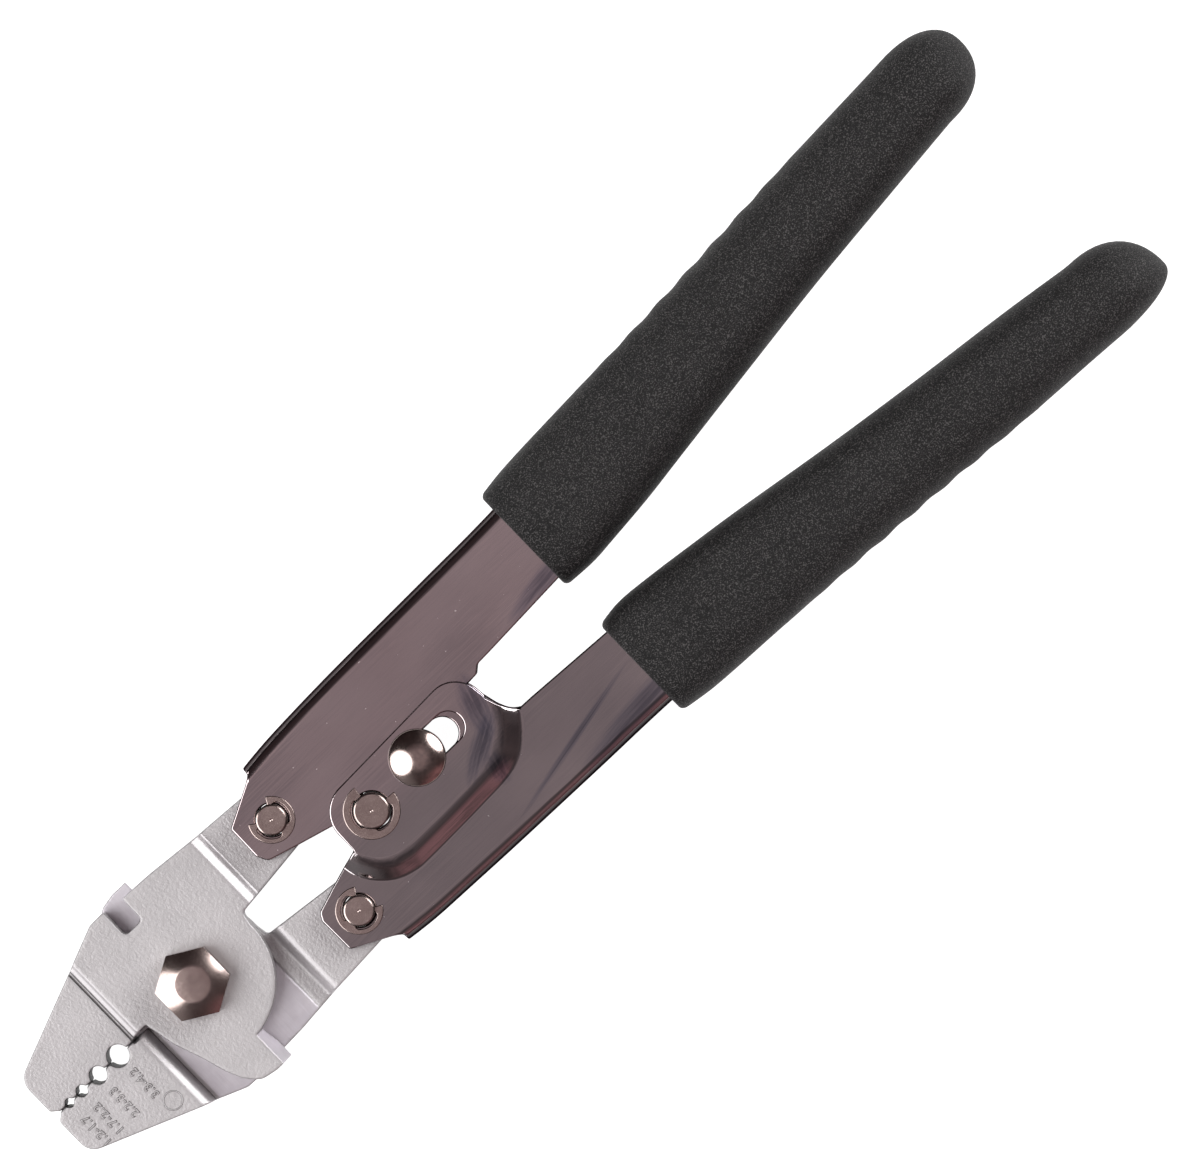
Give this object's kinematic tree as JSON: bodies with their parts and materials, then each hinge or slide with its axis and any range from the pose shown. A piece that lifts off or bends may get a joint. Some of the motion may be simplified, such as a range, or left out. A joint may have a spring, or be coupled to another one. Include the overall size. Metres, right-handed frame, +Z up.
{
  "type": "hand swager",
  "caption": "Compound-lever hand pliers for swaging crimp sleeves: lapped jaws with graded dies, folded sheet handles, moulded grips and a sliding lock stud.",
  "frame": {"origin": "under the middle of the closed tool's box, on the surface that the tool lies on", "axes": "+X along the tool from the jaws to the grips, +Y across the handles towards the upper handle, +Z up out of the face with the bolt head"},
  "size_m": [0.2536, 0.0666, 0.021],
  "materials": {
    "cast_steel": "satin sandblasted, fine grain",
    "chrome_sheet": "polished, slightly rippled",
    "nickel": "polished nickel plate",
    "grip_rubber": "matte, fine pebble grain"
  },
  "bodies": {
    "fixed_jaw": {"lower_jaw": "cast_steel", "pivot_bolt": "nickel", "pivot_nut": "nickel"},
    "moving_jaw": {"upper_jaw": "cast_steel"},
    "upper_lever": {"upper_handle": "chrome_sheet", "upper_grip": "grip_rubber", "upper_jaw_pin": "nickel", "upper_jaw_pin_clip": "nickel", "upper_jaw_pin_rear_clip": "nickel"},
    "lower_lever": {"lower_handle": "chrome_sheet", "lower_grip": "grip_rubber", "lower_jaw_pin": "nickel", "lower_jaw_pin_clip": "nickel", "lower_jaw_pin_rear_clip": "nickel", "handle_pin": "nickel", "handle_pin_clip": "nickel", "handle_pin_rear_clip": "nickel", "handle_spacer": "nickel"},
    "lock": {"lock_stud": "nickel", "lock_spring_washer": "nickel"}
  },
  "joints": [
    {"name": "jaw_hinge", "type": "hinge", "parent": "fixed_jaw", "child": "moving_jaw", "pos_m": [-0.0918, -0.00045, 0.0093], "axis": [0, 0, -1], "range_deg": [0, 16]},
    {"name": "upper_handle_hinge", "type": "hinge", "parent": "moving_jaw", "child": "upper_lever", "pos_m": [-0.06115, 0.01095, 0.0093], "axis": [0, 0, 1], "range_deg": [0, 24.2]},
    {"name": "lower_handle_hinge", "type": "hinge", "parent": "fixed_jaw", "child": "lower_lever", "pos_m": [-0.06115, -0.01185, 0.0093], "axis": [0, 0, -1], "range_deg": [0, 24.2]},
    {"name": "lock_slide", "type": "slide", "parent": "lower_lever", "child": "lock", "axis": [1, 0, 0], "range_m": [0, 0.0063]}
  ],
  "couplings": [
    {"joint": "upper_handle_hinge", "follows": "jaw_hinge", "ratio": 1.507},
    {"joint": "lower_handle_hinge", "follows": "jaw_hinge", "ratio": 1.507}
  ]
}
